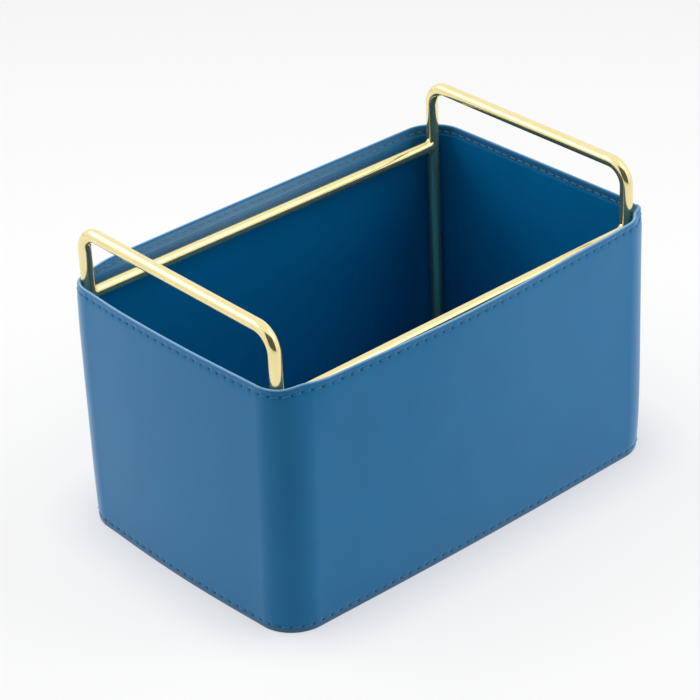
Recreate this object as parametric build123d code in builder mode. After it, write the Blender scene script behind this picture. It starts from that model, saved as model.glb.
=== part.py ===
from build123d import *
import math
import os

# Open stationery bin: a stitched leather shell, stiffened by a bent sheet, around a plated rod frame
# whose two end hoops are the carrying handles.
# Millimetres, +Z up, +X along the long walls. The origin is the middle of the base, on the table.

# ---------------------------------------------------------------------------------------------------
# Driving dimensions
# ---------------------------------------------------------------------------------------------------

# Leather shell, measured outside at its corners
bin_length = 250.0
bin_width = 162.5
bin_height = 133.5
corner_radius = 20.0

# How far each wall bows out in its middle
front_bow = 3.0
back_bow = 0.6
left_bow = 1.6
right_bow = 0.6

# Sheet materials
skin_thickness = 0.7
lining_thickness = 0.6
stiffener_thickness = 1.4
board_thickness = 2.0
glue_line = 0.05

# Turned rim and base flange
rim_turn_depth = 5.0
rim_rounding = 0.5
base_flange_height = 7.0
seam_gap = 0.3

# Stitching
stitch_pitch = 5.5
stitch_length = 3.4
thread_diameter = 0.6
thread_clearance = 0.1
rim_stitch_drop = 3.5
base_stitch_height = 3.3
seam_stitch_offset = 3.5

# Rod frame: its posts nest in the bin's rounded corners, and its hoops stand above the rim
rod_diameter = 6.6
post_corner_gap = 0.2
hoop_rise = 29.5
hoop_bend_radius = 11.0
top_rail_drop = 9.3
weld_gap = 0.05

# Floor panel
floor_fit_gap = 0.3
post_notch_gap = 0.5

# ---------------------------------------------------------------------------------------------------
# Derived sizes
# ---------------------------------------------------------------------------------------------------

half_length = bin_length / 2
half_width = bin_width / 2
rod_radius = rod_diameter / 2
thread_radius = thread_diameter / 2

# Insets of the wall's layers from the outer face
stiffener_inset = skin_thickness + glue_line
lining_inset = stiffener_inset + stiffener_thickness + glue_line
wall_thickness = lining_inset + lining_thickness

# Insets of the layers in the turned rim, where the skin folds over the lining's edge
rim_lining_inset = skin_thickness + glue_line
rim_turn_inset = rim_lining_inset + lining_thickness + glue_line
rim_thickness = rim_turn_inset + skin_thickness

# Insets of the base, whose flange stands inside the wall's skin
base_inset = skin_thickness + glue_line
bottom_board_inset = base_inset + skin_thickness + glue_line

# Centrelines of the posts, halfway round each rounded corner
post_reach = (corner_radius - wall_thickness - post_corner_gap - rod_radius) * math.sqrt(0.5)
post_x = half_length - corner_radius + post_reach
post_y = half_width - corner_radius + post_reach

# Heights
bottom_board_base = skin_thickness + glue_line
bottom_board_top = bottom_board_base + board_thickness
stiffener_base = base_flange_height + glue_line
rim_turn_base = bin_height - rim_turn_depth
ledge_top = rim_turn_base - glue_line
ledge_base = ledge_top - lining_thickness
stiffener_top = ledge_base - glue_line
lining_top = bin_height - skin_thickness - glue_line
lining_base = bottom_board_top + glue_line
frame_base = bottom_board_top + glue_line
base_rail_height = frame_base + rod_radius
top_rail_height = bin_height - top_rail_drop
hoop_bar_height = bin_height + hoop_rise - rod_radius
floor_board_base = base_rail_height + rod_radius + glue_line
floor_board_top = floor_board_base + board_thickness
floor_lining_base = floor_board_top + glue_line

os.makedirs("parts", exist_ok=True)


# ---------------------------------------------------------------------------------------------------
# Shared profiles
# ---------------------------------------------------------------------------------------------------


def bin_plan(inset):
    """Plan of the bin, inset from its outer face: four bowed walls with rounded corners between."""
    left = -half_length + inset
    right = half_length - inset
    front = -half_width + inset
    back = half_width - inset
    with BuildSketch() as plan:
        with BuildLine():
            ThreePointArc((left, front), (0, front - front_bow), (right, front))
            ThreePointArc((right, front), (right + right_bow, 0), (right, back))
            ThreePointArc((right, back), (0, back + back_bow), (left, back))
            ThreePointArc((left, back), (left - left_bow, 0), (left, front))
        make_face()
        fillet(plan.vertices(), corner_radius - inset)
    return plan.sketch


def band_plan(outer_inset, inner_inset):
    """Plan of a sheet that stands all round the bin between two insets."""
    with BuildSketch() as band:
        add(bin_plan(outer_inset))
        add(bin_plan(inner_inset), mode=Mode.SUBTRACT)
    return band.sketch


def floor_plan():
    """Plan of the floor panel: it fills the bin inside the lining and is notched round the four posts."""
    notch_radius = rod_radius + post_notch_gap
    with BuildSketch() as floor:
        add(bin_plan(wall_thickness + floor_fit_gap))
        for side_x in (-1, 1):
            for side_y in (-1, 1):
                post_place = (side_x * post_x, side_y * post_y)
                outward = Vector(side_x, side_y).get_signed_angle(Vector(1, 0), Vector(0, 0, -1))
                with Locations(Location(post_place)):
                    Circle(notch_radius, mode=Mode.SUBTRACT)
                with Locations(Location(post_place, outward)):
                    Rectangle(
                        2 * corner_radius,
                        2 * notch_radius,
                        align=(Align.MIN, Align.CENTER),
                        mode=Mode.SUBTRACT,
                    )
    return floor.sketch


def stitch_places(inset, height):
    """Evenly spaced places round the bin at one height, each turned along the seam."""
    seam_line = bin_plan(inset).face().outer_wire().moved(Location((0, 0, height)))
    count = round(seam_line.length / stitch_pitch)
    return [seam_line.location_at(index / count) for index in range(count)]


def seam_arc(inset):
    """The rounded corner at the back right, where the ends of the skin and of the lining meet."""
    return bin_plan(inset).edges().sort_by(Axis((0, 0, 0), (1, 1, 0)))[-1]


# ---------------------------------------------------------------------------------------------------
# Leather shell
# ---------------------------------------------------------------------------------------------------

# Cut between the ends of the skin and of the lining, square across the middle of their corner
seam_centre = seam_arc(0).arc_center
seam_turn = (seam_arc(0) @ 0.5 - seam_centre).get_angle(Vector(1, 0))
seam_cut_place = Location((seam_centre.X, seam_centre.Y, bin_height / 2), (0, 0, seam_turn))

# Outer leather: one strip round all four walls, turned over the rim and down inside it
with BuildPart() as outer_wall_skin:
    with BuildSketch():
        add(band_plan(0, skin_thickness))
    extrude(amount=bin_height)
    with BuildSketch(Plane.XY.offset(bin_height - skin_thickness)):
        add(band_plan(0, rim_thickness))
    extrude(amount=skin_thickness)
    with BuildSketch(Plane.XY.offset(rim_turn_base)):
        add(band_plan(rim_turn_inset, rim_thickness))
    extrude(amount=rim_turn_depth)
    fillet(outer_wall_skin.faces().sort_by(Axis.Z)[-1].edges(), rim_rounding)
    with Locations(seam_cut_place):
        Box(
            2 * corner_radius,
            seam_gap,
            2 * bin_height,
            align=(Align.MIN, Align.CENTER, Align.CENTER),
            mode=Mode.SUBTRACT,
        )
outer_wall_skin.part.label = "outer_wall_skin"
export_step(outer_wall_skin.part, "parts/outer_wall_skin.step")

# Stiffener: one sheet bent round the four corners, from the base flange up to the rim stitching
with BuildPart() as wall_stiffener:
    with BuildSketch(Plane.XY.offset(stiffener_base)):
        add(band_plan(stiffener_inset, stiffener_inset + stiffener_thickness))
    extrude(amount=stiffener_top - stiffener_base)
    with Locations((0, half_width, bin_height / 2)):
        Box(seam_gap, corner_radius, 2 * bin_height, mode=Mode.SUBTRACT)
wall_stiffener.part.label = "wall_stiffener"
export_step(wall_stiffener.part, "parts/wall_stiffener.step")

# Lining: covers the stiffener inside, steps out over its top edge and ends inside the turned rim
with BuildPart() as wall_lining:
    with BuildSketch(Plane.XY.offset(lining_base)):
        add(band_plan(lining_inset, wall_thickness))
    extrude(amount=ledge_top - lining_base)
    with BuildSketch(Plane.XY.offset(ledge_base)):
        add(band_plan(rim_lining_inset, wall_thickness))
    extrude(amount=lining_thickness)
    with BuildSketch(Plane.XY.offset(ledge_base)):
        add(band_plan(rim_lining_inset, rim_lining_inset + lining_thickness))
    extrude(amount=lining_top - ledge_base)
    with Locations(seam_cut_place):
        Box(
            2 * corner_radius,
            seam_gap,
            2 * bin_height,
            align=(Align.MIN, Align.CENTER, Align.CENTER),
            mode=Mode.SUBTRACT,
        )
wall_lining.part.label = "wall_lining"
export_step(wall_lining.part, "parts/wall_lining.step")

# Bottom leather: a shallow tray whose flange stands inside the wall's skin and is stitched to it
with BuildPart() as bottom_skin:
    with BuildSketch():
        add(bin_plan(base_inset))
    extrude(amount=skin_thickness)
    with BuildSketch():
        add(band_plan(base_inset, base_inset + skin_thickness))
    extrude(amount=base_flange_height)
bottom_skin.part.label = "bottom_skin"
export_step(bottom_skin.part, "parts/bottom_skin.step")

# Board glued into the leather tray; the frame stands on it
with BuildPart() as bottom_board:
    with BuildSketch(Plane.XY.offset(bottom_board_base)):
        add(bin_plan(bottom_board_inset))
    extrude(amount=board_thickness)
bottom_board.part.label = "bottom_board"
export_step(bottom_board.part, "parts/bottom_board.step")

# ---------------------------------------------------------------------------------------------------
# Floor panel, which lies over the frame's base rails and holds the frame down
# ---------------------------------------------------------------------------------------------------

with BuildPart() as floor_board:
    with BuildSketch(Plane.XY.offset(floor_board_base)):
        add(floor_plan())
    extrude(amount=board_thickness)
floor_board.part.label = "floor_board"
export_step(floor_board.part, "parts/floor_board.step")

with BuildPart() as floor_lining:
    with BuildSketch(Plane.XY.offset(floor_lining_base)):
        add(floor_plan())
    extrude(amount=lining_thickness)
floor_lining.part.label = "floor_lining"
export_step(floor_lining.part, "parts/floor_lining.step")

# ---------------------------------------------------------------------------------------------------
# Stitching: each stitch is a short length of thread on the face of the leather
# ---------------------------------------------------------------------------------------------------

thread_stand_off = thread_radius + thread_clearance
rim_stitch_height = bin_height - rim_stitch_drop

for thread_name, thread_inset, thread_height in (
    ("rim_needle_thread", -thread_stand_off, rim_stitch_height),
    ("rim_bobbin_thread", rim_thickness + thread_stand_off, rim_stitch_height),
    ("base_thread", -thread_stand_off, base_stitch_height),
):
    with BuildPart() as thread:
        with Locations(*stitch_places(thread_inset, thread_height)):
            Cylinder(thread_radius, stitch_length)
    thread.part.label = thread_name
    export_step(thread.part, f"parts/{thread_name}.step")

# Two upright rows of stitches, one each side of the corner seam in the outer leather
seam_row_base = base_stitch_height + stitch_pitch
seam_row_top = rim_stitch_height - stitch_pitch
seam_stitch_count = int((seam_row_top - seam_row_base) / stitch_pitch) + 1
thread_arc = seam_arc(-thread_stand_off)
seam_row_shift = seam_stitch_offset / thread_arc.length

with BuildPart() as corner_seam_thread:
    for row_place in (thread_arc @ (0.5 - seam_row_shift), thread_arc @ (0.5 + seam_row_shift)):
        for index in range(seam_stitch_count):
            with Locations((row_place.X, row_place.Y, seam_row_base + index * stitch_pitch)):
                Cylinder(thread_radius, stitch_length)
corner_seam_thread.part.label = "corner_seam_thread"
export_step(corner_seam_thread.part, "parts/corner_seam_thread.step")

# ---------------------------------------------------------------------------------------------------
# Rod frame: two bent hoops, joined by rails whose ends are coped and welded to the hoops' posts
# ---------------------------------------------------------------------------------------------------

cope_radius = rod_radius + weld_gap
cope_length = 2 * rod_diameter

for hoop_name, hoop_x in (("left_hoop", -post_x), ("right_hoop", post_x)):
    with BuildPart() as hoop:
        with BuildLine(Plane.YZ.offset(hoop_x)) as hoop_path:
            FilletPolyline(
                (-post_y, frame_base),
                (-post_y, hoop_bar_height),
                (post_y, hoop_bar_height),
                (post_y, frame_base),
                radius=hoop_bend_radius,
            )
        with BuildSketch(Plane.XY.offset(frame_base)):
            with Locations((hoop_x, -post_y)):
                Circle(rod_radius)
        sweep(path=hoop_path.line)
    hoop.part.label = hoop_name
    export_step(hoop.part, f"parts/{hoop_name}.step")

for rail_name, rail_y, rail_height in (
    ("front_top_rail", -post_y, top_rail_height),
    ("back_top_rail", post_y, top_rail_height),
    ("front_base_rail", -post_y, base_rail_height),
    ("back_base_rail", post_y, base_rail_height),
):
    with BuildPart() as long_rail:
        with BuildSketch(Plane.YZ.offset(-post_x)):
            with Locations((rail_y, rail_height)):
                Circle(rod_radius)
        extrude(amount=2 * post_x)
        with Locations((-post_x, rail_y, rail_height), (post_x, rail_y, rail_height)):
            Cylinder(cope_radius, cope_length, mode=Mode.SUBTRACT)
    long_rail.part.label = rail_name
    export_step(long_rail.part, f"parts/{rail_name}.step")

for rail_name, rail_x in (("left_base_rail", -post_x), ("right_base_rail", post_x)):
    with BuildPart() as end_rail:
        with BuildSketch(Plane.XZ.offset(-post_y)):
            with Locations((rail_x, base_rail_height)):
                Circle(rod_radius)
        extrude(amount=2 * post_y)
        with Locations((rail_x, -post_y, base_rail_height), (rail_x, post_y, base_rail_height)):
            Cylinder(cope_radius, cope_length, mode=Mode.SUBTRACT)
            Cylinder(cope_radius, cope_length, rotation=(0, 90, 0), mode=Mode.SUBTRACT)
    end_rail.part.label = rail_name
    export_step(end_rail.part, f"parts/{rail_name}.step")
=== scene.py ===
import functools
import math

import bmesh
import bpy
import numpy as np
from mathutils import Matrix, Vector


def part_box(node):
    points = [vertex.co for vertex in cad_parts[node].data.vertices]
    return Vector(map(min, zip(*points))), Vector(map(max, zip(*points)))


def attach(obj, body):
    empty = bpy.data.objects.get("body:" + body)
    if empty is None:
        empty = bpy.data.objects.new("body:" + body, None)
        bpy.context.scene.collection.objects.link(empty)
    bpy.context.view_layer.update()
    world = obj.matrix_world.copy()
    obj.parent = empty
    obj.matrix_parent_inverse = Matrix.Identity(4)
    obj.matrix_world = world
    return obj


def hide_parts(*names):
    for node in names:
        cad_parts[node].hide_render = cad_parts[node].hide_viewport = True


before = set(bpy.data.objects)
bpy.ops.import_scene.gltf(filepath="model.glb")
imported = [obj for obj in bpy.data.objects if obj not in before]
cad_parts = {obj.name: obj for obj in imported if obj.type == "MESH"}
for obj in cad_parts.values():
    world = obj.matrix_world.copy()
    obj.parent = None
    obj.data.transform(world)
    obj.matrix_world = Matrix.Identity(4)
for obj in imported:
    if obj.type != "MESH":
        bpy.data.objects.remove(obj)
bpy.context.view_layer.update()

# Open stationery bin: a stitched leather shell round a polished rod frame whose end hoops are handles.
# Metres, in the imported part's own frame: +Z up, +X along the long walls, origin in the middle of the base.

MM = 0.001
BODY = "root"

# ---- Sizes ----

# Shell, measured outside at its base
shell_length = 250.0 * MM
shell_width = 162.5 * MM
corner_radius = 20.0 * MM
rim_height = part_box("outer_wall_skin")[1].z

# Layers of the shell: each one's outer inset from the shell's face, and its thickness
skin_thickness = 0.7 * MM
lining_thickness = 0.6 * MM
stiffener_inset = 0.75 * MM
stiffener_thickness = 1.4 * MM
lining_inset = 2.2 * MM
rim_lining_inset = 0.75 * MM
rim_turn_inset = 1.4 * MM
rim_thickness = 2.1 * MM
base_inset = 0.75 * MM
board_inset = 1.5 * MM
seam_gap = 0.3 * MM
bevel = 0.1 * MM

# The shell as it stands: its corners lean and rise at the rim, and its walls bow
WALLS = ("front", "right", "back", "left")
CORNERS = ("front_left", "front_right", "back_right", "back_left")
CORNER_SIDES = {"front_left": (-1, -1), "front_right": (1, -1), "back_right": (1, 1), "back_left": (-1, 1)}
SEAM_CORNER = "back_right"
rim_bow = {"front": 4.7 * MM, "right": 0.1 * MM, "back": 0.4 * MM, "left": 1.5 * MM}
base_bow = {"front": 1.4 * MM, "right": 0.6 * MM, "back": 0.6 * MM, "left": 1.9 * MM}
rim_lean = {
    "front_left": (2.1 * MM, -3.5 * MM),
    "front_right": (0.9 * MM, 0.1 * MM),
    "back_right": (0.2 * MM, 0.1 * MM),
    "back_left": (0.3 * MM, -0.3 * MM),
}
rim_rise = {"front_left": -0.2 * MM, "front_right": 2.0 * MM, "back_right": 0.5 * MM, "back_left": 0.0}
BOW_POWER = 1.25
FRONT_RIM_BOW_POWER = 1.7

# The base seam pulls the walls a little out of true, and draws in the foot of two corners
base_lean = {
    "front_left": (0.0, -0.5 * MM),
    "front_right": (0.6 * MM, -0.9 * MM),
    "back_right": (0.0, 0.0),
    "back_left": (0.0, 0.0),
}
foot_lean = {
    "front_left": (0.0, 0.0),
    "front_right": (-1.6 * MM, 0.8 * MM),
    "back_right": (0.0, 0.0),
    "back_left": (-1.3 * MM, -3.4 * MM),
}
FOOT_POWER = 9

# Where the soft rim departs from the walls' even lean. Each row is a corner, how far along the outline
# from its middle, over what reach, how far below the rim it fades out, how far it's drawn in and lifted.
rim_unevenness = (
    ("front_left", 10 * MM, 9 * MM, 40 * MM, 2.1 * MM, 0.9 * MM),
    ("front_right", -88 * MM, 38 * MM, 80 * MM, 0.6 * MM, 0.0),
    ("front_right", -33 * MM, 14 * MM, 40 * MM, -0.7 * MM, 0.0),
    ("front_right", -5 * MM, 5.5 * MM, 8 * MM, 2.2 * MM, 0.0),
    ("front_right", 0.0, 9 * MM, 14 * MM, 0.0, 1.3 * MM),
    ("front_right", 11 * MM, 4 * MM, 12 * MM, 0.0, -1.2 * MM),
    ("back_left", -12 * MM, 9 * MM, 12 * MM, 2.6 * MM, 0.0),
    ("back_left", 14 * MM, 17 * MM, 30 * MM, 1.0 * MM, 0.0),
    ("back_left", 0.0, 7 * MM, 12 * MM, 0.0, -0.8 * MM),
)

# Turned rim: the leather folds over it and ends in a turned band inside
rim_turn_base = rim_height - 5.0 * MM
fold_radius = rim_thickness / 2
fold_base = rim_height - fold_radius
glue_gap = 0.05 * MM
ledge_top = rim_turn_base - glue_gap

# Stitching
stitch_pitch = 5.5 * MM
stitch_length = 4.5 * MM
thread_radius = 0.3 * MM
rim_stitch_height = rim_height - 3.5 * MM
base_stitch_height = 3.3 * MM
seam_stitch_offset = 3.5 * MM
COLUMNS_PER_STITCH = 10

# Rod frame: three of its posts stand a little out of square, and its top rails a little off level
rod_radius = (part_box("front_top_rail")[1].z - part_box("front_top_rail")[0].z) / 2
hoop_bend_radius = 11.0 * MM
post_lean = {
    "front_left": (-0.5 * MM, -0.6 * MM),
    "front_right": (-0.3 * MM, 0.9 * MM),
    "back_right": (0.0, 0.0),
    "back_left": (0.2 * MM, 0.0),
}
rail_rise = {"front_top_rail": (-1.3 * MM, 0.2 * MM), "back_top_rail": (0.3 * MM, 0.3 * MM)}
weld_reach = 2.4 * MM
weld_swell = 0.45
weld_bite = 0.15 * MM
rod_end_bevel = 0.4 * MM


# ---- Meshes and pieces ----


def grid_faces(rows, columns, rows_close=False, columns_close=False):
    """Quads between neighbouring points of a grid, which may close on itself either way."""
    row_count = rows if rows_close else rows - 1
    column_count = columns if columns_close else columns - 1
    row, column = np.meshgrid(np.arange(row_count), np.arange(column_count), indexing="ij")
    next_row = (row + 1) % rows
    next_column = (column + 1) % columns
    quads = (
        row * columns + column,
        row * columns + next_column,
        next_row * columns + next_column,
        next_row * columns + column,
    )
    return np.stack([quad.ravel() for quad in quads], axis=1).tolist()


def tube_faces(rings, sides):
    """Faces of a tube made of rings of points, with a cap at each end."""
    faces = grid_faces(rings, sides, columns_close=True)
    faces.append(list(range(sides)))
    faces.append([(rings - 1) * sides + side for side in range(sides)])
    return faces


def make_piece(name, points, faces, material, slot, *nodes, marks=None):
    """A closed mesh that rides on the bin's one body and stands for CAD nodes."""
    mesh = bpy.data.meshes.new(name)
    mesh.from_pydata(np.asarray(points).reshape(-1, 3).tolist(), [], faces)
    for mark, values in (marks or {}).items():
        attribute = mesh.attributes.new(mark, "FLOAT", "POINT")
        attribute.data.foreach_set("value", np.asarray(values, np.float32).ravel())
    draft = bmesh.new()
    draft.from_mesh(mesh)
    bmesh.ops.recalc_face_normals(draft, faces=draft.faces)
    draft.to_mesh(mesh)
    draft.free()
    mesh.shade_smooth()
    mesh.materials.append(material)
    piece = bpy.data.objects.new(name, mesh)
    bpy.context.scene.collection.objects.link(piece)
    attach(piece, BODY)
    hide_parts(*nodes)
    return piece


# ---- The shell's outline ----

ARC_POINTS = 65
WALL_POINTS = 400
NORMAL_STEP = 0.4 * MM


def unit(vector):
    return vector / np.linalg.norm(vector)


def leaning_corner(corner, share):
    """Where two walls' lines cross, at a share of the way up."""
    side = np.array(CORNER_SIDES[corner])
    lean = np.array(rim_lean[corner]) * share + np.array(base_lean[corner]) * (1 - share)
    lean = lean + np.array(foot_lean[corner]) * (1 - share) ** FOOT_POWER
    return side * (shell_length / 2, shell_width / 2) + lean


def corner_arc(before, corner, after):
    """Rounded corner between two walls."""
    arriving = unit(corner - before)
    leaving = unit(after - corner)
    turn = math.acos(arriving @ leaving)
    reach = corner_radius * math.tan(turn / 2)
    inward = np.array([-arriving[1], arriving[0]])
    centre = corner - arriving * reach + inward * corner_radius
    start = math.atan2(-inward[1], -inward[0])
    angles = start + np.linspace(0, turn, ARC_POINTS)
    return centre + corner_radius * np.stack([np.cos(angles), np.sin(angles)], axis=1)


def bowed_wall(start, finish, bow, power):
    """Wall between two rounded corners, without its end points."""
    along = np.linspace(-1, 1, WALL_POINTS)[1:-1, None]
    direction = unit(finish - start)
    outward = np.array([direction[1], -direction[0]])
    return start * (1 - along) / 2 + finish * (1 + along) / 2 + outward * bow * (1 - along**2) ** power


def line_index(corner):
    """Where a corner's middle comes among the outline's points, counted from the first arc's start."""
    return CORNERS.index(corner) * (ARC_POINTS + WALL_POINTS - 2) + ARC_POINTS // 2


@functools.lru_cache(maxsize=None)
def plan_line(height):
    """The shell's outer line at a height, from the seam right round, and the length along it."""
    share = height / rim_height
    corners = [leaning_corner(corner, share) for corner in CORNERS]
    arcs = [corner_arc(corners[i - 1], corners[i], corners[(i + 1) % 4]) for i in range(4)]
    stretches = []
    for i, wall in enumerate(WALLS):
        bow = base_bow[wall] * (1 - share) + rim_bow[wall] * share
        power = BOW_POWER + (FRONT_RIM_BOW_POWER - BOW_POWER) * share * (wall == "front")
        stretches.append(arcs[i])
        stretches.append(bowed_wall(arcs[i][-1], arcs[(i + 1) % 4][0], bow, power))
    line = np.roll(np.concatenate(stretches), -line_index(SEAM_CORNER), axis=0)
    line = np.vstack([line, line[:1]])
    steps = np.linalg.norm(np.diff(line, axis=0), axis=1)
    return line, np.concatenate([[0.0], np.cumsum(steps)])


def on_line(line, lengths, along):
    along = along % lengths[-1]
    return np.stack([np.interp(along, lengths, line[:, 0]), np.interp(along, lengths, line[:, 1])], axis=-1)


def rise_at(places_xy, height):
    """How much higher than level the shell's leather lies, from the uneven height of its rim."""
    across = places_xy[..., 0] / shell_length + 0.5
    deep = places_xy[..., 1] / shell_width + 0.5
    rise = (
        (1 - across) * (1 - deep) * rim_rise["front_left"]
        + across * (1 - deep) * rim_rise["front_right"]
        + across * deep * rim_rise["back_right"]
        + (1 - across) * deep * rim_rise["back_left"]
    )
    return rise * height / rim_height


def unevenness_at(along, lengths, height):
    """How far the soft rim is drawn in, and how far it's lifted, at places along the outline."""
    drawn_in = np.zeros_like(along)
    lifted = np.zeros_like(along)
    for corner, offset, reach, fade, inward, upward in rim_unevenness:
        middle = lengths[(line_index(corner) - line_index(SEAM_CORNER)) % (len(lengths) - 1)]
        away = along % lengths[-1] - middle - offset
        share = max(0.0, 1 - (rim_height - height) / fade) ** 2 * np.exp(-((away / reach) ** 2))
        drawn_in += inward * share
        lifted += upward * share
    return drawn_in, lifted


def shell_ring(height, inset, shares):
    """Points of the shell at a height and inset, at shares of the way round, and the way out at each."""
    line, lengths = plan_line(height)
    along = np.asarray(shares) * lengths[-1]
    drawn_in, lifted = unevenness_at(along, lengths, height)
    face = on_line(line, lengths, along)
    tangent = on_line(line, lengths, along + NORMAL_STEP) - on_line(line, lengths, along - NORMAL_STEP)
    outward = np.stack([tangent[..., 1], -tangent[..., 0]], axis=-1)
    outward /= np.linalg.norm(outward, axis=-1, keepdims=True)
    flat = face - outward * (inset + drawn_in)[..., None]
    points = np.concatenate([flat, (height + rise_at(flat, height) + lifted)[..., None]], axis=-1)
    ways_out = np.concatenate([outward, np.zeros_like(outward[..., :1])], axis=-1)
    return points, ways_out


rim_perimeter = plan_line(rim_height)[1][-1]
stitch_count = round(rim_perimeter / stitch_pitch)


def strip_shares(columns):
    """Shares round the shell for a strip whose two ends face each other across the seam's gap."""
    shares = np.linspace(0, 1, columns + 1)
    shares[0] = seam_gap / 2 / rim_perimeter
    shares[-1] = 1 - shares[0]
    return shares


# ---- Leather surface: what the stitching draws into it, and the light and shade painted into its colour ----

trough_width = 0.9 * MM
trough_depth = 0.1 * MM
hole_depth = 0.4 * MM
hole_width = 0.7 * MM
hole_shadow_width = 0.6 * MM
inner_hole_share = 0.35
hollow_depth = 0.14 * MM
hollow_width = 2.2 * MM
edge_pinch = 0.2 * MM
edge_pinch_width = 0.8 * MM
TOUCHING = 0.01 * MM
row_steps = (0.15 * MM, 0.4 * MM, 0.7 * MM, 1.1 * MM, 1.7 * MM)

# Ripples: each one's strength, waves round the bin, start, and turn for each metre up
ripple_depth = 0.07 * MM
RIPPLES = ((1.0, 7, 1.1, 18), (0.6, 13, 2.3, -31))

# Painted light and shade, as shares of the full tone: pale on the fold, the band's edge and inside; dark on
# the band; shadow and grey sheen at the foot
fold_crest = 0.95 * MM
fold_crest_width = 0.6 * MM
band_edge_highlight = 0.45
band_edge_height = 0.4 * MM
inside_light_strength = 0.62
inside_light_middle = 0.17
inside_light_reach = 0.14
lining_light_base = 120 * MM
band_shade_strength = 0.38
foot_contact_shadow = 0.7
foot_contact_shadow_height = 0.6 * MM
foot_sheen = 0.45
foot_sheen_height = 2.6 * MM


def bell(distance, width):
    return np.exp(-((distance / width) ** 2))


def hole_nearness(shares):
    """1 at the holes that neighbouring stitches share, and 0 away from them."""
    from_hole = (0.5 - np.abs((np.asarray(shares) * stitch_count) % 1 - 0.5)) * stitch_pitch
    return bell(from_hole, hole_width)


def seam_trough(shares, from_seam):
    """Depth of the trough along a row of stitches, at a distance across it."""
    return bell(from_seam, trough_width) * (trough_depth + hole_depth * hole_nearness(shares))


def ripple(shares, height):
    """The slight unevenness of leather glued over a sheet."""
    turn = 2 * math.pi * np.asarray(shares)
    waves = 0.0
    for strength, count, start, slant in RIPPLES:
        waves = waves + strength * np.sin(count * turn + start + slant * height)
    return ripple_depth * waves * math.sin(math.pi * height / rim_height)


def outer_inset(shares, height):
    """Inset of the skin's outer face from the shell's smooth outline."""
    inset = seam_trough(shares, height - base_stitch_height)
    inset = inset + seam_trough(shares, height - rim_stitch_height)
    inset = inset + hollow_depth * bell(height - rim_stitch_height, hollow_width)
    inset = inset + ripple(shares, height)
    from_end = np.minimum(shares, 1 - shares) * rim_perimeter
    return inset + edge_pinch * bell(from_end, edge_pinch_width)


def rows_across(middle):
    """Heights across a row of stitches, closest at the row itself."""
    below = [middle - step for step in reversed(row_steps)]
    above = [middle + step for step in row_steps]
    return below + above


def half_turn(centre_inset, centre_height, radius, steps, upward=True):
    """Section points of a half circle, over or under its centre, from its outer end to its inner one."""
    angles = np.linspace(math.pi, 0, steps)
    way = 1 if upward else -1
    return [
        (centre_inset + radius * math.cos(angle), centre_height + way * radius * math.sin(angle))
        for angle in angles
    ]


# ---- Sheets that stand round the bin ----

STRIP_COLUMNS = 720


def wrapped_sheet(section, shares, surface=None):
    """Points of a sheet round the bin: a closed section of (inset, height) carried along the outline."""
    rings = []
    for inset, height in section:
        extra = 0.0 if surface is None else surface(inset, height, shares)
        rings.append(shell_ring(height, inset + extra + np.zeros_like(shares), shares)[0])
    return np.stack(rings)


def strip_faces(rows, columns):
    """Faces of a sheet whose section is closed and whose two ends are capped."""
    faces = grid_faces(rows, columns, rows_close=True)
    faces.append([row * columns for row in range(rows)])
    faces.append([row * columns + columns - 1 for row in reversed(range(rows))])
    return faces


def skin_section():
    """Outer leather: up the outside, over the fold and down the turned band inside, then back beneath."""
    edge = (rim_thickness - rim_turn_inset) / 2
    wall_rows = [0.9 * MM, *rows_across(base_stitch_height), 6.2 * MM]
    wall_rows += [*np.linspace(8 * MM, 124 * MM, 15), 126.6 * MM, *rows_across(rim_stitch_height)[:-1]]
    outside = [(0.0, height) for height in wall_rows]
    fold = half_turn(fold_radius, fold_base, fold_radius, steps=13)
    band = [(rim_thickness, height) for height in reversed(rows_across(rim_stitch_height)[2:-1])]
    band_edge = half_turn(rim_turn_inset + edge, rim_turn_base + edge, edge, steps=6, upward=False)
    under_fold = half_turn(fold_radius, fold_base, fold_radius - skin_thickness, steps=7)
    back_rows = (120 * MM, 90 * MM, 60 * MM, 30 * MM, 5 * MM, 0.8 * MM)
    back = [(skin_thickness, height) for height in back_rows]
    foot = [(0.58 * MM, 0.12 * MM), (0.35 * MM, 0.0), (0.12 * MM, 0.1 * MM), (0.0, 0.4 * MM)]
    return outside + fold + band + band_edge[::-1] + under_fold[::-1] + back + foot


def is_on_band(inset, height):
    """Whether a section point lies on the face of the turned band."""
    return inset > rim_thickness - TOUCHING and height <= fold_base


def skin_surface(inset, height, shares):
    """The stitches draw in the face of the wall and the face of the turned band, below the fold."""
    if height >= fold_base:
        return 0.0
    if inset < skin_thickness / 2:
        return outer_inset(shares, height)
    if is_on_band(inset, height):
        return -inner_hole_share * seam_trough(shares, height - rim_stitch_height)
    return 0.0


def painted_inside_light(shares):
    """How much painted light lies inside, along the back wall's rim."""
    return inside_light_strength * bell(shares - inside_light_middle, inside_light_reach)


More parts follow.
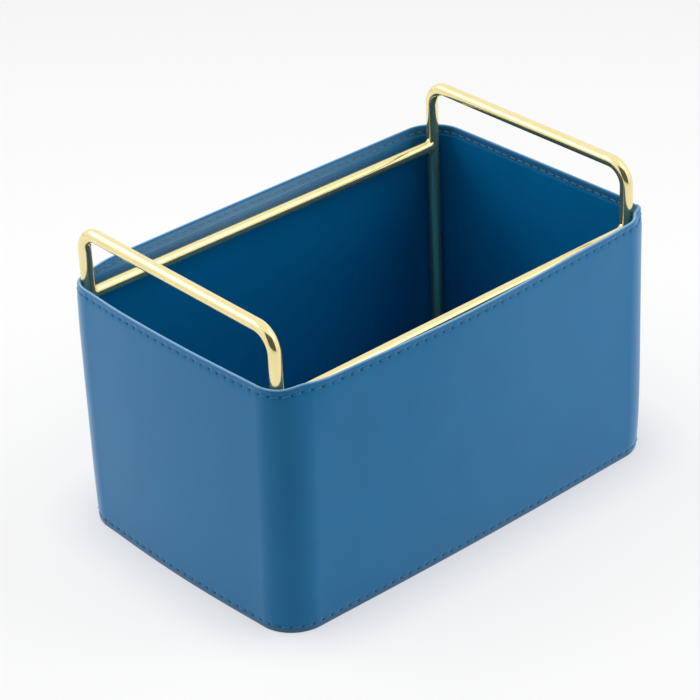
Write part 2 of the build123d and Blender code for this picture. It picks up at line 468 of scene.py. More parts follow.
def painted_light_marks(section, shares):
    """Painted light and shade at each point of the leather: painted highlights, painted shade in its holes
    and on the turned band, a painted contact shadow at its foot, and a painted grey sheen low on the foot.
    """
    painted_pale = []
    dark = []
    foot_sheen_mark = []
    for inset, height in section:
        on_fold = height > fold_base
        on_band = is_on_band(inset, height)
        on_edge = inset > rim_turn_inset + skin_thickness / 2 and height < rim_turn_base + band_edge_height
        # Painted highlight on the fold's crest and on the turned band's lower edge, where the light catches
        # them.
        crest_and_edge_highlight = bell(inset - fold_crest, fold_crest_width) * on_fold + band_edge_highlight * on_edge
        painted_pale.append(crest_and_edge_highlight + on_band * painted_inside_light(shares))
        # Painted shade in the stitch holes, weaker on the band inside.
        near_row = bell(height - rim_stitch_height, hole_shadow_width)
        near_row = near_row + bell(height - base_stitch_height, hole_shadow_width)
        near_hole = near_row * hole_nearness(shares) * (inner_hole_share if on_band else 1.0)
        # Painted shade on the turned band inside, less where the painted light lies along the back wall.
        painted_band_shade = on_band * band_shade_strength * (1 - painted_inside_light(shares) / inside_light_strength)
        # Painted contact shadow along the foot, added to the painted shade of the holes and the band.
        dark.append(near_hole + painted_band_shade + foot_contact_shadow * bell(height, foot_contact_shadow_height))
        # Painted grey sheen low on the foot.
        foot_sheen_mark.append(np.full_like(shares, foot_sheen * bell(height, foot_sheen_height)))
    return {"painted_pale": np.stack(painted_pale), "dark": np.stack(dark), "foot_sheen_mark": np.stack(foot_sheen_mark)}


def build_skin(material):
    section = skin_section()
    shares = strip_shares(stitch_count * COLUMNS_PER_STITCH)
    points = wrapped_sheet(section, shares, skin_surface)
    faces = strip_faces(len(section), len(shares))
    marks = painted_light_marks(section, shares)
    make_piece("leather_skin", points, faces, material, "skin_leather", "outer_wall_skin", marks=marks)


def build_lining(material):
    """Lining: from the bottom board up the inside, out over the stiffener and up into the turned rim."""
    face = lining_inset + lining_thickness
    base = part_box("wall_lining")[0].z
    top = fold_base - glue_gap
    ledge_base = ledge_top - lining_thickness
    tucked_in = rim_lining_inset + lining_thickness
    heights = [*np.linspace(base, lining_light_base, 11), lining_light_base + MM, ledge_base - 1.2 * MM]
    section = [(face, height) for height in heights]
    section += [
        (face, ledge_base - 0.5 * MM),
        (face, ledge_base - bevel),
        (face - 0.06 * MM, ledge_top - 0.35 * MM),
        (face - 0.2 * MM, ledge_top - 0.14 * MM),
        (face - 0.45 * MM, ledge_top - 0.02 * MM),
        (face - 0.8 * MM, ledge_top),
        (tucked_in + bevel, ledge_top),
        (tucked_in, ledge_top + 0.2 * MM),
        (tucked_in, top - bevel),
        (tucked_in - bevel, top),
        (rim_lining_inset + bevel, top),
        (rim_lining_inset, top - bevel),
        (rim_lining_inset, ledge_base + bevel),
        (rim_lining_inset + bevel, ledge_base),
        (lining_inset - bevel, ledge_base),
        (lining_inset, ledge_base - bevel),
    ]
    section += [(lining_inset, height) for height in (90 * MM, 60 * MM, 30 * MM, base)]
    shares = strip_shares(STRIP_COLUMNS)

    def surface(inset, height, shares):
        return -ripple(shares, height) if inset > lining_inset + bevel else 0.0

    points = wrapped_sheet(section, shares, surface)
    faces = strip_faces(len(section), len(shares))
    # Painted light on the lining above the rail, along the back wall.
    painted_pale = np.stack([painted_inside_light(shares) * (height > lining_light_base) for _, height in section])
    marks = {"painted_pale": painted_pale}
    make_piece("leather_lining", points, faces, material, "lining_leather", "wall_lining", marks=marks)


def build_stiffener(material):
    """Stiffener: one plain sheet bent round the corners."""
    low, high = (corner.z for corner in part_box("wall_stiffener"))
    outer = stiffener_inset
    inner = stiffener_inset + stiffener_thickness
    rows = np.linspace(low, high, 9)
    section = [(outer, height) for height in rows] + [(inner, height) for height in rows[::-1]]
    shares = strip_shares(STRIP_COLUMNS)
    points = wrapped_sheet(section, shares)
    faces = strip_faces(len(section), len(shares))
    make_piece("stiffener", points, faces, material, "stiffener_sheet", "wall_stiffener")


# ---- Flat layers of the base and the floor ----

PLATE_POINTS = 720
PLATE_MARGIN = 0.3 * MM
NOTCH_POINTS = 25
floor_clearance = 0.3 * MM
post_clearance = 0.5 * MM
floor_point_spacing = 0.8 * MM
board_rounding = 0.2 * MM
floor_leather_rounding = 0.25 * MM
tray_cap_reach = 2.5 * MM


def shrunk(outline, distance):
    """A closed outline moved into itself."""
    tangent = np.roll(outline, -1, axis=0) - np.roll(outline, 1, axis=0)
    side = np.stack([-tangent[:, 1], tangent[:, 0]], axis=1)
    return outline + side / np.linalg.norm(side, axis=1, keepdims=True) * distance


def plate(outline, low, high, rounding):
    """Rings and faces of a flat layer with softened edges."""
    levels = (
        (rounding + PLATE_MARGIN, low),
        (rounding, low),
        (0.3 * rounding, low + 0.3 * rounding),
        (0.0, low + rounding),
        (0.0, high - rounding),
        (0.3 * rounding, high - 0.3 * rounding),
        (rounding, high),
        (rounding + PLATE_MARGIN, high),
    )
    count = len(outline)
    rings = [
        np.column_stack([shrunk(outline, distance), np.full(count, height)]) for distance, height in levels
    ]
    return np.stack(rings), tube_faces(len(levels), count)


def shell_outline(height, inset):
    shares = np.arange(PLATE_POINTS) / PLATE_POINTS
    return shell_ring(height, np.full(PLATE_POINTS, inset), shares)[0][:, :2]


def notched(outline, post, notch_radius):
    """An outline with a slot from its corner in to a post, and a round end about the post."""
    outward = np.sign(post) * math.sqrt(0.5)
    sideways = np.array([-outward[1], outward[0]])
    from_post = outline - post
    in_slot = (from_post @ outward > 0) & (np.abs(from_post @ sideways) < notch_radius)
    first = int(np.argmax(in_slot & ~np.roll(in_slot, 1)))
    rolled = np.roll(outline, -first, axis=0)
    kept = rolled[np.count_nonzero(in_slot):]
    angles = np.linspace(math.pi / 2, -math.pi / 2, NOTCH_POINTS)[:, None]
    mouth = post + notch_radius * (-np.cos(angles) * outward - np.sin(angles) * sideways)
    return np.vstack([mouth, kept])


def even_spacing(outline, step):
    """A closed outline with its points at an even spacing."""
    closed = np.vstack([outline, outline[:1]])
    lengths = np.concatenate([[0.0], np.cumsum(np.linalg.norm(np.diff(closed, axis=0), axis=1))])
    along = np.linspace(0, lengths[-1], round(lengths[-1] / step), endpoint=False)
    return on_line(closed, lengths, along)


def floor_outline(height):
    """The floor fits inside the lining and is notched round the four posts."""
    outline = shell_outline(height, lining_inset + lining_thickness + floor_clearance)
    for corner in CORNERS:
        outline = notched(outline, post_place(corner), rod_radius + post_clearance)
    return even_spacing(outline, floor_point_spacing)


def build_flat_layer(name, node, outline, rounding, material, slot):
    low, high = (corner.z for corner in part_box(node))
    points, faces = plate(outline, low, high, rounding)
    make_piece(name, points, faces, material, slot, node)


def build_base_board(material):
    outline = shell_outline(0.0, board_inset)
    build_flat_layer("base_board", "bottom_board", outline, board_rounding, material, "greyboard")


def build_floor_panel(material):
    outline = floor_outline(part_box("floor_board")[0].z)
    build_flat_layer("floor_panel", "floor_board", outline, board_rounding, material, "greyboard")


def build_floor_leather(material):
    outline = floor_outline(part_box("floor_lining")[0].z)
    rounding = floor_leather_rounding
    build_flat_layer("floor_leather", "floor_lining", outline, rounding, material, "lining_leather")


def build_bottom_skin(material):
    """Bottom leather: a tray whose flange stands inside the wall's skin."""
    flange_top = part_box("bottom_skin")[1].z
    flange_back = base_inset + skin_thickness
    levels = (
        (base_inset + tray_cap_reach, 0.0),
        (base_inset + 0.6 * MM, 0.0),
        (base_inset + 0.2 * MM, 0.1 * MM),
        (base_inset, 0.4 * MM),
        (base_inset, flange_top - bevel),
        (base_inset + bevel, flange_top),
        (flange_back - bevel, flange_top),
        (flange_back, flange_top - bevel),
        (flange_back, skin_thickness + bevel),
        (flange_back + bevel, skin_thickness),
        (base_inset + tray_cap_reach, skin_thickness),
    )
    shares = np.arange(PLATE_POINTS) / PLATE_POINTS
    rings = [shell_ring(height, np.full(PLATE_POINTS, inset), shares)[0] for inset, height in levels]
    faces = tube_faces(len(levels), PLATE_POINTS)
    make_piece("leather_bottom", np.stack(rings), faces, material, "skin_leather", "bottom_skin")


# ---- Stitching ----

STITCH_RINGS = 9
STITCH_SIDES = 12
THREAD_PLIES = 3
PLY_TWIST = 7.0
PLY_DEPTH = 0.1
stitch_slant = 0.12 * MM
thread_lift = 0.12 * MM
thread_dive = 0.45 * MM


def stitch_profile():
    """Along one stitch: places from -1 to 1, the height of its line over the leather, and its radius."""
    along = np.sin(np.linspace(-math.pi / 2, math.pi / 2, STITCH_RINGS))
    lift = thread_lift - thread_dive * along**4
    radius = thread_radius * np.sqrt(np.clip(1.15 - along**6, 0.1, 1.0))
    return along, lift, radius


def stitches(centres, ways_out, across):
    """Rings and faces of many stitches. Centres are (stitch, ring) points on the leather."""
    along, lift, radius = stitch_profile()
    angles = np.arange(STITCH_SIDES) * 2 * math.pi / STITCH_SIDES
    twist = THREAD_PLIES * angles[None, :] - PLY_TWIST * along[:, None]
    radii = radius[:, None] * (1 + PLY_DEPTH * np.cos(twist))
    middles = centres + ways_out * lift[None, :, None]
    out_part = (radii * np.cos(angles))[None, :, :, None] * ways_out[:, :, None, :]
    across_part = (radii * np.sin(angles))[None, :, :, None] * across[:, :, None, :]
    points = middles[:, :, None, :] + out_part + across_part
    one = tube_faces(STITCH_RINGS, STITCH_SIDES)
    size = STITCH_RINGS * STITCH_SIDES
    faces = [[size * index + corner for corner in face] for index in range(len(centres)) for face in one]
    return points, faces


def build_row_of_stitches(name, node, height, material, inside=False):
    """A row of stitches right round the shell, on its outer face or on the turned band inside."""
    along = stitch_profile()[0]
    middles = (np.arange(stitch_count) + 0.5) / stitch_count
    shares = middles[:, None] + along[None, :] * stitch_length / 2 / rim_perimeter
    trough = trough_depth + (0.0 if inside else hollow_depth * (height > rim_height / 2))
    inset = rim_thickness - trough if inside else trough
    points, ways_out = shell_ring(height, np.full_like(shares, inset), shares)
    points[..., 2] += stitch_slant * along
    if inside:
        ways_out = -ways_out
    across = np.zeros_like(ways_out)
    across[..., 2] = 1.0
    points, faces = stitches(points, ways_out, across)
    make_piece(name, points, faces, material, "thread", node)


def build_seam_stitches(material):
    """Two upright rows of stitches, one each side of the corner seam."""
    along = stitch_profile()[0]
    first = base_stitch_height + stitch_pitch
    last = rim_stitch_height - stitch_pitch
    heights = np.arange(first, last, stitch_pitch)
    centres = []
    ways_out = []
    for side in (-1, 1):
        share = np.array([side * seam_stitch_offset / rim_perimeter])
        for height in heights:
            stitch = [shell_ring(height + step, np.zeros(1), share) for step in along * stitch_length / 2]
            centres.append([point[0] for point, way in stitch])
            ways_out.append([way[0] for point, way in stitch])
    centres = np.array(centres)
    ways_out = np.array(ways_out)
    across = np.cross(ways_out, (0.0, 0.0, 1.0))
    points, faces = stitches(centres, ways_out, across)
    make_piece("seam_stitches", points, faces, material, "thread", "corner_seam_thread")


# ---- Rod frame ----

ROD_SIDES = 48
BEND_STEPS = 28
POST_STEPS = 9
WELD_STEPS = 9
weld_to_plain_rod = 10 * MM

hoop_low, hoop_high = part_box("right_hoop")
post_x = (hoop_low.x + hoop_high.x) / 2
post_y = hoop_high.y - rod_radius
rod_angles = np.arange(ROD_SIDES) * 2 * math.pi / ROD_SIDES


def post_place(corner):
    return np.array(CORNER_SIDES[corner]) * (post_x, post_y) + np.array(post_lean[corner])


def level_normal(start, finish):
    """Unit vector square to the way from one post to another."""
    along = unit(finish - start)
    return np.array([-along[1], along[0]])


def hoop_path(start, finish):
    """A hoop's centreline, up one post and down the other, and the way out of its bends at each point."""
    span = np.linalg.norm(finish - start)
    bar = hoop_high.z - rod_radius
    bend_base = bar - hoop_bend_radius
    half = [(0.0, height, -1.0, 0.0) for height in np.linspace(hoop_low.z, bend_base, POST_STEPS)[:-1]]
    half.insert(1, (0.0, hoop_low.z + rod_end_bevel, -1.0, 0.0))
    for angle in np.linspace(math.pi, math.pi / 2, BEND_STEPS):
        out_along = math.cos(angle)
        out_up = math.sin(angle)
        along = hoop_bend_radius * (1 + out_along)
        half.append((along, bend_base + hoop_bend_radius * out_up, out_along, out_up))
    half = np.array(half)
    other = half[::-1] * (-1, 1, -1, 1) + (span, 0, 0, 0)
    along, height, out_along, out_up = np.vstack([half, other]).T
    direction = (finish - start) / span
    points = np.column_stack([start + along[:, None] * direction, height])
    ways_out = np.column_stack([out_along[:, None] * direction, out_up])
    return points, ways_out


def build_hoop(name, node, front_corner, back_corner, material):
    start = post_place(front_corner)
    finish = post_place(back_corner)
    points, ways_out = hoop_path(start, finish)
    radii = np.full(len(points), rod_radius)
    radii[[0, -1]] -= rod_end_bevel
    sideways = np.array([*level_normal(start, finish), 0.0])
    rings = (
        points[:, None, :]
        + radii[:, None, None] * np.cos(rod_angles)[None, :, None] * ways_out[:, None, :]
        + radii[:, None, None] * np.sin(rod_angles)[None, :, None] * sideways
    )
    make_piece(name, rings, tube_faces(len(rings), ROD_SIDES), material, "plated_rod", node)


def rail_rings(span):
    """Rings of a rail from post to post: places along, sideways and up, from the first post's middle."""
    side_part = rod_radius * np.cos(rod_angles)
    up_part = rod_radius * np.sin(rod_angles)
    cope = np.sqrt(np.maximum(rod_radius**2 - side_part**2, 0.0)) - weld_bite
    weld_gaps = weld_reach * np.linspace(0, 1, WELD_STEPS) ** 1.5
    gaps = [*weld_gaps, weld_to_plain_rod, span / 3]
    rings = []
    for gap in gaps:
        swell = 1 + weld_swell * max(0.0, 1 - gap / weld_reach) ** 2
        rings.append(np.column_stack([cope + gap, side_part, up_part * swell]))
    far_end = [ring * (-1, 1, 1) + (span, 0, 0) for ring in rings]
    return np.stack(rings + far_end[::-1])


def build_rail(name, node, start_corner, finish_corner, material):
    """A rail from one post to another, at the height of its CAD node."""
    start = post_place(start_corner)
    finish = post_place(finish_corner)
    span = np.linalg.norm(finish - start)
    along, sideways, up = np.moveaxis(rail_rings(span), -1, 0)
    low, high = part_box(node)
    rise = np.interp(along, (0, span), rail_rise.get(node, (0.0, 0.0)))
    level = start + along[..., None] * unit(finish - start)
    level = level + sideways[..., None] * level_normal(start, finish)
    points = np.concatenate([level, (up + rise + (low.z + high.z) / 2)[..., None]], axis=-1)
    make_piece(name, points, tube_faces(len(points), ROD_SIDES), material, "plated_rod", node)


# ---- Materials ----

WHITE = (1.0, 1.0, 1.0)
# Grey of the sheen painted low on the foot.
FOOT_SHEEN_GREY = (0.1, 0.09, 0.07)
COATING_TINT = (0.85, 0.93, 1.0, 1.0)
HOLE_SHADOW = 0.2


def mixed_colour(tree, share, first, second):
    """First where the share is 0, second where it is 1. Either is a colour or another node's output."""
    node = tree.nodes.new("ShaderNodeMix")
    node.data_type = "RGBA"
    tree.links.new(share, node.inputs["Factor"])
    for socket, colour in ((node.inputs[6], first), (node.inputs[7], second)):
        if isinstance(colour, bpy.types.NodeSocket):
            tree.links.new(colour, socket)
        else:
            socket.default_value = (*colour, 1.0)
    return node.outputs[2]


class Finish:
    """A node material under construction: one Principled shader, and short calls that add nodes to it."""

    def __init__(self, name, **values):
        self.material = bpy.data.materials.new(name)
        self.material.use_nodes = True
        self.nodes = self.material.node_tree.nodes
        self.shader = self.nodes["Principled BSDF"]
        self.place = self.nodes.new("ShaderNodeTexCoord").outputs["Object"]
        for socket, value in values.items():
            self.shader.inputs[socket.replace("_", " ")].default_value = value

    def link(self, source, target):
        self.material.node_tree.links.new(source, target)

    def noise(self, size, detail=2.0, roughness=0.5):
        """Cloudy noise with features of about this size."""
        node = self.nodes.new("ShaderNodeTexNoise")
        node.inputs["Scale"].default_value = 1 / size
        node.inputs["Detail"].default_value = detail
        node.inputs["Roughness"].default_value = roughness
        self.link(self.place, node.inputs["Vector"])
        return node.outputs["Fac"]

    def cells(self, size):
        """Distance to the middle of irregular cells of about this size, smooth from cell to cell."""
        node = self.nodes.new("ShaderNodeTexVoronoi")
        node.feature = "SMOOTH_F1"
        node.inputs["Scale"].default_value = 1 / size
        self.link(self.place, node.inputs["Vector"])
        return node.outputs["Distance"]

    def mark(self, name):
        """A mark that the mesh carries at each point."""
        node = self.nodes.new("ShaderNodeAttribute")
        node.attribute_name = name
        return node.outputs["Fac"]

    def spread(self, source, low=0.0, high=1.0, source_low=0.3, source_high=0.7):
        """The source's range mapped onto another. A noise's usual range is 0.3 to 0.7."""
        node = self.nodes.new("ShaderNodeMapRange")
        node.inputs["From Min"].default_value = source_low
        node.inputs["From Max"].default_value = source_high
        node.inputs["To Min"].default_value = low
        node.inputs["To Max"].default_value = high
        self.link(source, node.inputs["Value"])
        return node.outputs["Result"]

    def blend(self, share, first, second):
        """First where the share is 0, second where it is 1."""
        return mixed_colour(self.material.node_tree, share, first, second)

    def bump(self, height, depth, strength=1.0, under=None):
        """A bump of this depth, on top of another."""
        node = self.nodes.new("ShaderNodeBump")
        node.inputs["Distance"].default_value = depth
        node.inputs["Strength"].default_value = strength
        self.link(height, node.inputs["Height"])
        if under is not None:
            self.link(under, node.inputs["Normal"])
        return node.outputs["Normal"]

    def drive(self, socket, source):
        """Let an output set one of the shader's values."""
        self.link(source, self.shader.inputs[socket])


def leather(name, colour, pale, dark, roughness, gloss, bloom):
    """Fine-grained coated leather: small pebbles and cloudy tone, with painted highlights, painted shade in
    its stitch holes, on the band and at the foot, and a painted grey sheen at the foot.
    """
    finish = Finish(
        name,
        Specular_IOR_Level=gloss,
        Sheen_Weight=bloom,
        Sheen_Roughness=0.4,
        Sheen_Tint=COATING_TINT,
    )
    pebbles = finish.cells(size=0.75 * MM)
    pores = finish.noise(size=0.28 * MM, detail=3.0)
    clouds = finish.noise(size=22 * MM, detail=3.0)
    painted_pale = finish.spread(finish.mark("painted_pale"), high=0.9, source_low=0.1, source_high=1.0)
    shaded = finish.spread(finish.mark("dark"), high=0.9, source_low=0.2, source_high=0.8)
    shadow = tuple(HOLE_SHADOW * channel for channel in dark)
    tone = finish.blend(finish.spread(clouds), dark, colour)
    # Pale: the painted highlights and painted light.
    tone = finish.blend(painted_pale, tone, pale)
    # Painted shade of the holes, the band and the foot, towards a darker copy of the dark tone.
    tone = finish.blend(shaded, tone, shadow)
    # Painted grey sheen low on the foot.
    tone = finish.blend(finish.mark("foot_sheen_mark"), tone, FOOT_SHEEN_GREY)
    finish.drive("Base Color", tone)
    finish.drive("Roughness", finish.spread(clouds, roughness - 0.04, roughness + 0.04))
    grain = finish.bump(pebbles, depth=0.06 * MM, strength=0.35)
    grain = finish.bump(pores, depth=0.03 * MM, strength=0.35, under=grain)
    finish.drive("Normal", grain)
    return finish.material


def polished_plate():
    """Pale brass plate, polished: a mirror with a thin warm haze, polishing marks and slight waves."""
    deep = (0.89, 0.755, 0.36)
    pale = (0.91, 0.795, 0.43)
    finish = Finish("polished_plate", Metallic=0.93)
    haze = finish.noise(size=9 * MM, detail=4.0)
    marks = finish.noise(size=0.35 * MM, detail=3.0)
    waves = finish.noise(size=14 * MM, detail=1.0)
    finish.drive("Base Color", finish.blend(finish.spread(haze), deep, pale))
    finish.drive("Roughness", finish.spread(marks, 0.1, 0.18))
    finish.drive("Normal", finish.bump(waves, depth=0.03 * MM, strength=0.4))
    return finish.material


def sewing_thread(name, colour, pale):
    """Twisted thread with fine fibres."""
    finish = Finish(name, Specular_IOR_Level=0.15, Sheen_Weight=0.1, Sheen_Tint=COATING_TINT)
    fibres = finish.noise(size=0.12 * MM)
    finish.drive("Base Color", finish.blend(finish.spread(fibres), colour, pale))
    finish.drive("Roughness", finish.spread(fibres, 0.6, 0.75))
    finish.drive("Normal", finish.bump(fibres, depth=0.03 * MM, strength=0.5))
    return finish.material


def grey_board():
    """Pressed board with flecks of pulp."""
    deep = (0.2, 0.17, 0.13)
    pale = (0.3, 0.27, 0.22)
    finish = Finish("grey_board", Specular_IOR_Level=0.2)
    pulp = finish.noise(size=1.2 * MM, detail=5.0, roughness=0.7)
    finish.drive("Base Color", finish.blend(finish.spread(pulp), deep, pale))
    finish.drive("Roughness", finish.spread(pulp, 0.8, 0.95))
    finish.drive("Normal", finish.bump(pulp, depth=0.08 * MM, strength=0.5))
    return finish.material


def stiff_sheet():
    """Plain off-white sheet with a faint calendered texture."""
    deep = (0.5, 0.5, 0.48)
    pale = (0.58, 0.58, 0.55)
    finish = Finish("stiff_sheet", Specular_IOR_Level=0.4)
    texture = finish.noise(size=0.8 * MM, detail=3.0)
    finish.drive("Base Color", finish.blend(finish.spread(texture), deep, pale))
    finish.drive("Roughness", finish.spread(texture, 0.45, 0.6))
    finish.drive("Normal", finish.bump(texture, depth=0.03 * MM, strength=0.4))
    return finish.material


# ---- Stage: floor, lights and camera ----

# The camera looks at the front left corner from above, slightly rolled, and stands this far from the
# middle of the base and this far to the side and up in its own picture. Its lens is measured in pixels.
CAMERA_AZIMUTH = math.radians(-40.34)
CAMERA_ELEVATION = math.radians(30.11)
CAMERA_ROLL = math.radians(-2.62)
CAMERA_DISTANCE = 1.389
CAMERA_RIGHT = -0.0107
CAMERA_UP = 0.0642
FOCAL_LENGTH_PIXELS = 2693.4
PICTURE_PIXELS = 700
SENSOR_WIDTH = 36.0
NEAREST_SEEN = 0.05
FARTHEST_SEEN = 20.0

# The floor's paint gets darker away from the object, because the lamps stand nearer there. The camera and
# mirrors see a share of plain white mixed in, and a blue-grey shade where the object's walls are close.
FLOOR_HALF_SIZE = 4.0
FLOOR_NEAR = 0.25
FLOOR_FAR = 1.2
FLOOR_PAINT_NEAR = (0.66, 0.66, 0.66)
FLOOR_PAINT_FAR = (0.42, 0.42, 0.42)
FLOOR_WHITE_SHARE = 0.67
CONTACT_SHADE = (0.62, 0.66, 0.75)
CONTACT_REACH = 32 * MM

# Colour of the dark sheet that paints dark reflections of the room behind the camera.
DARK_WALL = (0.01, 0.01, 0.01)
BIN_MIDDLE = (0.0, 0.0, 0.07)


def seen_share(tree):
    """1 for rays from the camera, and for what metal and glass show of the room."""
    path = tree.nodes.new("ShaderNodeLightPath")
    share = path.outputs["Is Camera Ray"]
    for kind in ("Is Glossy Ray", "Is Transmission Ray"):
        either = tree.nodes.new("ShaderNodeMath")
        either.operation = "MAXIMUM"
        tree.links.new(share, either.inputs[0])
        tree.links.new(path.outputs[kind], either.inputs[1])
        share = either.outputs[0]
    return share


def distance_from_object(tree):
    """0 near the middle of the object and 1 far from it."""
    length = tree.nodes.new("ShaderNodeVectorMath")
    length.operation = "LENGTH"
    tree.links.new(tree.nodes.new("ShaderNodeNewGeometry").outputs["Position"], length.inputs[0])
    distance = tree.nodes.new("ShaderNodeMapRange")
    distance.inputs["From Min"].default_value = FLOOR_NEAR
    distance.inputs["From Max"].default_value = FLOOR_FAR
    tree.links.new(length.outputs["Value"], distance.inputs["Value"])
    return distance.outputs["Result"]


def contact_shade(tree):
    """White, and the shade's colour where the object closes off the space over the floor."""
    open_space = tree.nodes.new("ShaderNodeAmbientOcclusion")
    open_space.inputs["Distance"].default_value = CONTACT_REACH
    return mixed_colour(tree, open_space.outputs["AO"], CONTACT_SHADE, WHITE)


def mix_surface(tree, output, share, first, second):
    """Show the first shader where the share is 0 and the second where it is 1."""
    mixed = tree.nodes.new("ShaderNodeMixShader")
    tree.links.new(share, mixed.inputs["Fac"])
    tree.links.new(first.outputs[0], mixed.inputs[1])
    tree.links.new(second.outputs[0], mixed.inputs[2])
    tree.links.new(mixed.outputs[0], tree.nodes[output].inputs["Surface"])


def floor_material():
    """Diffuse paint, with plain white and the contact shade mixed in where it is seen."""
    material = bpy.data.materials.new("pale_floor")
    material.use_nodes = True
    tree = material.node_tree
    tree.nodes.remove(tree.nodes["Principled BSDF"])
    is_seen = seen_share(tree)
    paint = mixed_colour(tree, distance_from_object(tree), FLOOR_PAINT_NEAR, FLOOR_PAINT_FAR)
    shade = contact_shade(tree)
    shaded_paint = tree.nodes.new("ShaderNodeVectorMath")
    shaded_paint.operation = "MULTIPLY"
    tree.links.new(paint, shaded_paint.inputs[0])
    tree.links.new(shade, shaded_paint.inputs[1])
    lit = tree.nodes.new("ShaderNodeBsdfDiffuse")
    tree.links.new(mixed_colour(tree, is_seen, paint, shaded_paint.outputs[0]), lit.inputs["Color"])
    white = tree.nodes.new("ShaderNodeEmission")
    white.inputs["Strength"].default_value = 1.0
    tree.links.new(shade, white.inputs["Color"])
    white_share = tree.nodes.new("ShaderNodeMath")
    white_share.operation = "MULTIPLY"
    white_share.inputs[1].default_value = FLOOR_WHITE_SHARE
    tree.links.new(is_seen, white_share.inputs[0])
    mix_surface(tree, "Material Output", white_share.outputs[0], lit, white)
    return material


def make_stage_sheet(name, points, material):
    """A flat four-sided sheet that isn't part of the object."""
    mesh = bpy.data.meshes.new(name)
    mesh.from_pydata(points, [], [(0, 1, 2, 3)])
    mesh.materials.append(material)
    sheet = bpy.data.objects.new(name, mesh)
    bpy.context.scene.collection.objects.link(sheet)
    return sheet


def make_floor():
    """Wide pale floor that keeps the object's shadow and is white to the camera elsewhere."""
    signs = ((-1, -1), (1, -1), (1, 1), (-1, 1))
    points = [(x * FLOOR_HALF_SIZE, y * FLOOR_HALF_SIZE, 0.0) for x, y in signs]
    make_stage_sheet("floor", points, floor_material())


def make_dark_room(distance, width, low, high):
    """Dark sheet behind the camera that stands in for the unlit room there, and shows in reflections alone
    as painted dark reflections.
    """
    back = Vector((math.sin(CAMERA_AZIMUTH), -math.cos(CAMERA_AZIMUTH), 0.0))
    level = Vector((math.cos(CAMERA_AZIMUTH), math.sin(CAMERA_AZIMUTH), 0.0))
    left, right = (back * distance + level * side * width / 2 for side in (-1, 1))
    places = ((left, low), (left, high), (right, high), (right, low))
    points = [(corner.x, corner.y, height) for corner, height in places]
    material = bpy.data.materials.new("dark_wall")
    material.use_nodes = True
    material.node_tree.nodes["Principled BSDF"].inputs["Base Color"].default_value = (*DARK_WALL, 1.0)
    room = make_stage_sheet("dark_room", points, material)
    room.visible_camera = False
    room.visible_diffuse = False
    room.visible_transmission = False
    room.visible_shadow = False


def make_world(ambient):
    """White to the camera and in reflections, and a softer even light on everything."""
    world = bpy.data.worlds.new("studio")
    world.use_nodes = True
    bpy.context.scene.world = world
    tree = world.node_tree
    soft = tree.nodes["Background"]
    white = tree.nodes.new("ShaderNodeBackground")
    for light, strength in ((soft, ambient), (white, 1.0)):
        light.inputs["Color"].default_value = (*WHITE, 1.0)
        light.inputs["Strength"].default_value = strength
    mix_surface(tree, "World Output", seen_share(tree), soft, white)


def make_softbox(name, place, size, radiance, mirrored=False):
    """Soft light aimed at the bin. Radiance is how bright its face looks, where a lit white wall is 1."""
    lamp = bpy.data.lights.new(name, "AREA")
    lamp.shape = "RECTANGLE"
    lamp.size, lamp.size_y = size
    lamp.energy = radiance * math.pi * lamp.size * lamp.size_y
    box = bpy.data.objects.new(name, lamp)
    bpy.context.scene.collection.objects.link(box)
    box.location = place
    box.rotation_euler = (Vector(BIN_MIDDLE) - Vector(place)).to_track_quat("-Z", "Y").to_euler()
    box.visible_glossy = mirrored


def make_camera():
    """Camera at the viewing angle of the picture."""
    flat = math.cos(CAMERA_ELEVATION)
    back_x = math.sin(CAMERA_AZIMUTH) * flat
    back_y = -math.cos(CAMERA_AZIMUTH) * flat
    back = Vector((back_x, back_y, math.sin(CAMERA_ELEVATION)))
    level = Vector((math.cos(CAMERA_AZIMUTH), math.sin(CAMERA_AZIMUTH), 0.0))
    upright = back.cross(level)
    right = level * math.cos(CAMERA_ROLL) + upright * math.sin(CAMERA_ROLL)
    up = upright * math.cos(CAMERA_ROLL) - level * math.sin(CAMERA_ROLL)
    lens = bpy.data.cameras.new("camera")
    lens.sensor_width = SENSOR_WIDTH
    lens.lens = FOCAL_LENGTH_PIXELS / PICTURE_PIXELS * SENSOR_WIDTH
    lens.clip_start = NEAREST_SEEN
    lens.clip_end = FARTHEST_SEEN
    camera = bpy.data.objects.new("camera", lens)
    bpy.context.scene.collection.objects.link(camera)
    place = back * CAMERA_DISTANCE + right * CAMERA_RIGHT + up * CAMERA_UP
    turn = Matrix((right, up, back)).transposed().to_4x4()
    camera.matrix_world = Matrix.Translation(place) @ turn
    bpy.context.scene.camera = camera


# ---- Build ----

bpy.context.scene.view_settings.view_transform = "Standard"
make_camera()
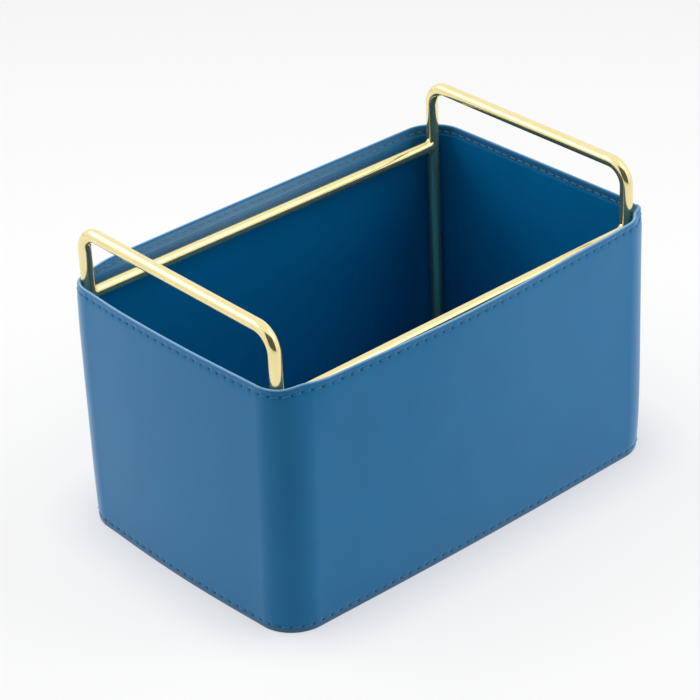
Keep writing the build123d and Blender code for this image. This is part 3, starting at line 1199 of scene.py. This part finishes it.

# Each leather's pale colour is that of its painted highlights and painted light.
skin_leather = leather(
    "skin_leather",
    colour=(0.002, 0.12, 0.275),
    pale=(0.21, 0.36, 0.51),
    dark=(0.0015, 0.11, 0.26),
    roughness=0.46,
    gloss=0.12,
    bloom=0.55,
)
lining_leather = leather(
    "lining_leather",
    colour=(0.0008, 0.12, 0.29),
    pale=(0.2, 0.33, 0.45),
    dark=(0.0005, 0.11, 0.27),
    roughness=0.55,
    gloss=0.02,
    bloom=0.0,
)
gold = polished_plate()
thread = sewing_thread("sewing_thread", colour=(0.012, 0.13, 0.27), pale=(0.035, 0.175, 0.33))
bobbin_thread = sewing_thread("bobbin_thread", colour=(0.025, 0.175, 0.33), pale=(0.055, 0.235, 0.4))
board = grey_board()

build_skin(skin_leather)
build_lining(lining_leather)
build_stiffener(stiff_sheet())
build_bottom_skin(skin_leather)
build_base_board(board)
build_floor_panel(board)
build_floor_leather(lining_leather)

build_row_of_stitches("rim_stitches_outside", "rim_needle_thread", rim_stitch_height, thread)
build_row_of_stitches(
    "rim_stitches_inside", "rim_bobbin_thread", rim_stitch_height, bobbin_thread, inside=True
)
build_row_of_stitches("base_stitches", "base_thread", base_stitch_height, thread)
build_seam_stitches(thread)

build_hoop("left_handle_hoop", "left_hoop", "front_left", "back_left", gold)
build_hoop("right_handle_hoop", "right_hoop", "front_right", "back_right", gold)
build_rail("front_top_rod", "front_top_rail", "front_left", "front_right", gold)
build_rail("back_top_rod", "back_top_rail", "back_left", "back_right", gold)
build_rail("front_base_rod", "front_base_rail", "front_left", "front_right", gold)
build_rail("back_base_rod", "back_base_rail", "back_left", "back_right", gold)
build_rail("left_base_rod", "left_base_rail", "front_left", "back_left", gold)
build_rail("right_base_rod", "right_base_rail", "front_right", "back_right", gold)

make_floor()
make_world(ambient=0.45)
make_dark_room(distance=1.9, width=3.4, low=0.02, high=2.6)
make_softbox("top_softbox", (-0.2, 0.25, 1.35), size=(1.0, 1.0), radiance=2.4)
make_softbox("left_softbox", (-1.08, 0.8, 0.42), size=(1.35, 0.95), radiance=2.25)
make_softbox("right_softbox", (1.05, -0.8, 0.8), size=(1.5, 1.65), radiance=2.6)
make_softbox("right_low_softbox", (1.15, -0.95, 0.2), size=(1.1, 0.5), radiance=1.8)
make_softbox("back_softbox", (-0.05, 1.1, 1.2), size=(0.9, 0.9), radiance=1.6)
make_softbox("left_window", (-0.56, 0.78, 0.76), size=(1.1, 0.5), radiance=1.5, mirrored=True)
make_softbox("right_window", (0.45, -0.62, 1.0), size=(0.8, 0.8), radiance=0.8, mirrored=True)
